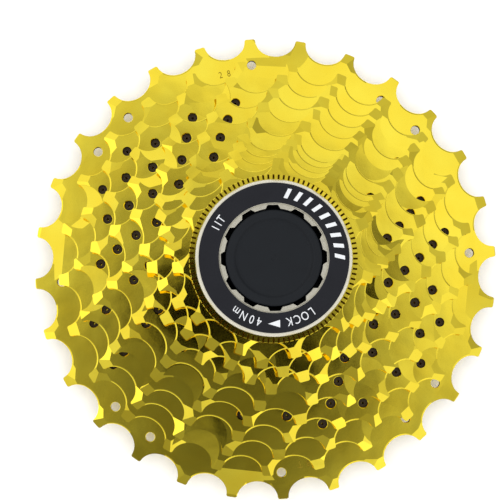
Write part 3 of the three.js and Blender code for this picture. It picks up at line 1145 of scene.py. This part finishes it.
# ---- shipping core and plug ----
def core_ribs(seat):
    """Webs inside the neck that tie its wall to the middle tube."""
    inner, outer = TUBE_R - RIB_OVERLAP, NECK_R - NECK_WALL + RIB_OVERLAP
    section = [(inner, -RIB_HALF), (outer, -RIB_HALF), (outer, RIB_HALF), (inner, RIB_HALF)]
    ribs = []
    for k in range(RIB_COUNT):
        rib = slab(section, [], 1.0, seat - BASE - 0.7)
        ribs.append(moved(rib, Matrix.Rotation(math.radians(60 * k), 4, "Z")))
    return merge(*ribs)


def core_dimples():
    """Shallow tapered sinks in the flange's underside, one between each pair of ribs."""
    dimples = []
    for k in range(RIB_COUNT):
        bm = bmesh.new()
        bmesh.ops.create_cone(bm, cap_ends=True, segments=32, radius1=1.6, radius2=1.3, depth=1.0)
        bmesh.ops.translate(bm, verts=bm.verts, vec=(DIMPLE_CIRCLE_R, 0, -0.2))
        dimples.append(moved(bm, Matrix.Rotation(math.radians(30 + 60 * k), 4, "Z")))
    return merge(*dimples)


def make_core():
    high = top_of("shipping_core")
    seat = BASE + NECK
    base_profile = [
        (TUBE_BORE_R, 0.3),
        (TUBE_BORE_R + 0.3, 0),
        (TUBE_R, 0),
        (TUBE_R, seat - BASE),
        (NECK_R - NECK_WALL, seat - BASE),
        (NECK_R - NECK_WALL, 0.0),
        (BASE_R - 0.5, 0),
        (BASE_R - 0.12, 0.15),
        (BASE_R, 0.5),
        (BASE_R, BASE - 0.5),
        (BASE_R - 0.15, BASE - 0.12),
        (BASE_R - 0.6, BASE),
        (NECK_R + 0.5, BASE),
        (NECK_R + 0.1, BASE + 0.12),
        (NECK_R, BASE + 0.5),
        (NECK_R, seat - 0.3),
        (NECK_R - 0.3, seat),
        (CORE_BORE_R, seat),
        (CORE_BORE_R, seat - 0.4),
        (TUBE_R, seat - 0.4),
        (TUBE_R, TUBE_TOP - 0.3),
        (TUBE_R - 0.3, TUBE_TOP),
        (TUBE_BORE_R + 0.3, TUBE_TOP),
        (TUBE_BORE_R, TUBE_TOP - 0.3),
    ]
    bm = turned(base_profile, 120)
    sleeve = slab(spline_outline(0), [circle(CORE_BORE_R, 120)], seat - 0.3, high - seat + 0.3)
    ease(sleeve, wall_corners(sleeve, SPLINE_ROOT_R - 0.2, SPLINE_CREST_R + 0.5), 0.18, 2)
    ease(sleeve, [e for e in rims(sleeve) if e.verts[0].co.z > high - 0.1], 0.3)
    bm = combine(bm, sleeve, "UNION")
    bm = combine(bm, core_ribs(seat), "UNION")
    bm = combine(bm, core_dimples())
    piece("shipping_core_body", bm, "core", [PLASTIC], "shipping_core")


def make_plug():
    low, top = bottom_of("core_plug"), top_of("core_plug")
    disc = PLUG_R - PLUG_RIM
    ceiling = top - PLUG_RECESS - PLUG_WALL
    profile = [
        (0, ceiling),
        (PLUG_R - PLUG_WALL - 0.4, ceiling),
        (PLUG_R - PLUG_WALL, ceiling - 0.4),
        (PLUG_R - PLUG_WALL, low + 0.2),
        (PLUG_R - PLUG_WALL + 0.2, low),
        (PLUG_R - 0.4, low),
        (PLUG_R - 0.1, low + 0.5),
        (PLUG_R, low + 1.2),
        (PLUG_R, top - 0.45),
        (PLUG_R - 0.1, top - 0.15),
        (PLUG_R - 0.35, top - 0.02),
        (PLUG_R - 0.7, top),
        (disc + 0.35, top),
        (disc + 0.15, top - 0.05),
        (disc, top - 0.18),
        (disc - 0.3, top - PLUG_RECESS + 0.08),
        (disc - 0.8, top - PLUG_RECESS),
        (0.7, top - PLUG_RECESS),
        (0.5, top - PLUG_RECESS - 0.08),
        (0, top - PLUG_RECESS - 0.1),
    ]
    bm = turned(profile, 96, closed=False)
    piece("core_plug_cap", bm, "plug", [PLASTIC], "core_plug")


make_sprockets()
make_spacers()
make_rivets()
make_lock_ring()
make_washer()
make_ring_marks()
make_plate_marks()
make_core()
make_plug()


# ---- floor, light and camera ----
# the dark round the lens is centred this far off the zenith, at this azimuth
LENS_OFF = math.radians(1.6)
LENS_TURN = math.radians(-18)

# the surround's brightness at each angle from the lens, in degrees
SKY_STOPS = [
    (0, 0.12),
    (2.0, 0.15),
    (3.5, 0.21),
    (4.4, 0.29),
    (5.3, 0.4),
    (6.7, 0.6),
    (7.7, 0.84),
    (9.5, 1.0),
    (14, 1.05),
    (90, 0.9),
]

# soft-edged lights and shades in the surround, of which the first two, small and dark, are the
# lens itself: azimuth, angle off the zenith, inner and outer radius in degrees, brightness added
SKY_PATCHES = [
    (78, 1.9, 1.5, 2.2, -0.5),
    (0, 3.3, 0.6, 1.2, -0.4),
    (105, 7.4, 1, 3.5, -0.28),
    (18, 8.6, 1.5, 4, 0.2),
    (50, 9, 1.5, 4, 0.12),
    (40, 50, 18, 44, -0.4),
    (168, 22, 4, 9, 0.4),
    (198, 22, 3, 8, 0.3),
    (300, 22, 3, 8, 0.5),
    (250, 30, 14, 29, -0.68),
    (15, 21, 4, 10, -0.25),
    (50, 21, 4, 10, -0.3),
    (90, 21, 4, 9, -0.3),
    (120, 21, 3, 8, -0.4),
]


def make_floor():
    bm = bmesh.new()
    bmesh.ops.create_grid(bm, x_segments=8, y_segments=8, size=3.0)
    floor = as_object(bm, "studio_floor")
    floor.data.materials.append(floor_paper())


def direction(off_zenith, azimuth):
    flat = math.sin(off_zenith)
    return (flat * math.cos(azimuth), flat * math.sin(azimuth), math.cos(off_zenith))


def make_sky():
    """Soft studio surround that the plating mirrors: dark round the lens and pale beyond it."""
    world = bpy.data.worlds.new("studio")
    bpy.context.scene.world = world
    world.use_nodes = True
    tree = world.node_tree
    tree.nodes.clear()
    ray = add(tree, "ShaderNodeTexCoord").outputs["Generated"]
    lens = direction(LENS_OFF, LENS_TURN)
    up = add(tree, "ShaderNodeVectorMath", {0: ray, 1: lens}, operation="DOT_PRODUCT")
    angle = add(tree, "ShaderNodeMath", {0: up.outputs["Value"]}, operation="ARCCOSINE").outputs[0]
    ramp = add(tree, "ShaderNodeValToRGB")
    share = add(tree, "ShaderNodeMath", {0: angle, 1: 1 / math.pi}, operation="MULTIPLY").outputs[0]
    tree.links.new(share, ramp.inputs[0])
    elements = ramp.color_ramp.elements
    while len(elements) < len(SKY_STOPS):
        elements.new(0.5)
    for element, (degrees, level) in zip(elements, SKY_STOPS):
        element.position = degrees / 180
        element.color = (level, level, level, 1)
    level = ramp.outputs[0]
    for azimuth, off_zenith, inner, outer, gain in SKY_PATCHES:
        aim = direction(math.radians(off_zenith), math.radians(azimuth))
        close = add(tree, "ShaderNodeVectorMath", {0: ray, 1: aim}, operation="DOT_PRODUCT")
        edges = {
            "Value": close.outputs["Value"],
            "From Min": math.cos(math.radians(outer)),
            "From Max": math.cos(math.radians(inner)),
            "To Min": 0.0,
            "To Max": gain,
        }
        patch = add(tree, "ShaderNodeMapRange", edges, interpolation_type="SMOOTHSTEP")
        summed = {0: level, 1: patch.outputs["Result"]}
        level = add(tree, "ShaderNodeMath", summed, operation="ADD").outputs[0]
    level = add(tree, "ShaderNodeMath", {0: level, 1: 0.0}, operation="MAXIMUM").outputs[0]
    background = add(tree, "ShaderNodeBackground", {"Strength": level, "Color": (1, 1, 1, 1)})
    add(tree, "ShaderNodeOutputWorld", {"Surface": background.outputs[0]})


def make_key_light():
    """A wide soft panel high over the floor that the plating does not mirror."""
    data = bpy.data.lights.new("overhead_panel", "AREA")
    data.shape = "DISK"
    data.size = 2.4
    data.energy = 34
    panel = bpy.data.objects.new("overhead_panel", data)
    panel.location = (0, 0, 2.2)
    panel.visible_glossy = False
    panel.visible_camera = False
    bpy.context.scene.collection.objects.link(panel)


def make_camera():
    """Almost straight down the axis, a little low and to the left of it."""
    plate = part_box("sprocket_28t")[1].z
    eye = Vector((-0.0186, -0.0235, 0.440 + plate))
    aim = Vector((-0.0041, 0.0043, plate))
    forward = (aim - eye).normalized()
    right = forward.cross(Vector((0, 1, 0))).normalized()
    upward = right.cross(forward)
    data = bpy.data.cameras.new("camera")
    data.lens = 128
    data.sensor_width = 36
    data.clip_start, data.clip_end = 0.01, 20
    camera = bpy.data.objects.new("camera", data)
    bpy.context.scene.collection.objects.link(camera)
    turn = Matrix((right, upward, -forward)).transposed().to_4x4()
    camera.matrix_world = Matrix.Translation(eye) @ turn
    bpy.context.scene.camera = camera


make_floor()
make_sky()
make_key_light()
make_camera()
bpy.context.scene.view_settings.view_transform = "Standard"
